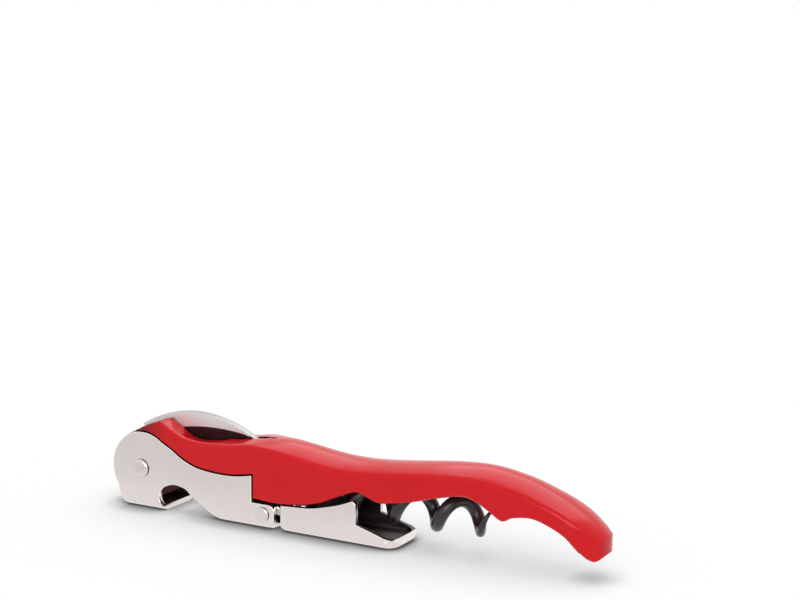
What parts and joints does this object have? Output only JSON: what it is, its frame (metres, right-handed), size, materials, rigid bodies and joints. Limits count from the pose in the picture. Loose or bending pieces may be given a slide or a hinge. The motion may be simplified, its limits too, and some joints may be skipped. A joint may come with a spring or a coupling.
{
  "type": "waiter's corkscrew",
  "caption": "Folding waiter's corkscrew: curved handle with a stowed worm, a hinged steel rim lever with a crown cap notch, and a curved foil knife.",
  "frame": {"origin": "middle of the folded tool's footprint, on the plane of the lever's back plate", "axes": "+X from the head to the tail, +Y across the tool, +Z from the lever up to the handle's back"},
  "size_m": [0.1189, 0.0136, 0.0224],
  "materials": {
    "red_lacquer": "glossy red lacquer",
    "nickel_sheet": "satin nickel plate",
    "rivet_steel": "peened steel",
    "washer_plastic": "plain",
    "dark_steel": "plain",
    "black_coat": "satin black coating",
    "blade_steel": "ground"
  },
  "bodies": {
    "handle": {"handle_body": "red_lacquer", "worm_pin": "rivet_steel", "knife_pin": "red_lacquer"},
    "lever": {"upper_lever_arm": "nickel_sheet", "main_rivet": "rivet_steel", "pivot_washers": "washer_plastic", "hinge_rivet": "rivet_steel", "hinge_sleeve": "dark_steel", "hinge_spring": "dark_steel"},
    "thumb_arm": {"lower_lever_arm": "nickel_sheet"},
    "screw": {"worm": "black_coat"},
    "knife": {"knife_blade": "blade_steel"}
  },
  "joints": [
    {"name": "lever_swing", "type": "hinge", "parent": "handle", "child": "lever", "pos_m": [-0.05155, 0, 0.00915], "axis": [0, 1, 0], "range_deg": [0, 95]},
    {"name": "thumb_arm_fold", "type": "hinge", "parent": "lever", "child": "thumb_arm", "pos_m": [-0.01885, 0, 0.0032], "axis": [0, 1, 0], "range_deg": [0, 55]},
    {"name": "worm_swing", "type": "hinge", "parent": "handle", "child": "screw", "pos_m": [-0.03295, 0, 0.00855], "axis": [0, 1, 0], "range_deg": [0, 95]},
    {"name": "knife_open", "type": "hinge", "parent": "handle", "child": "knife", "pos_m": [-0.02615, 0, 0.0162], "axis": [0, 1, 0], "range_deg": [0, 90]}
  ],
  "couplings": [
    {"joint": "worm_swing", "follows": "lever_swing", "ratio": 1}
  ]
}
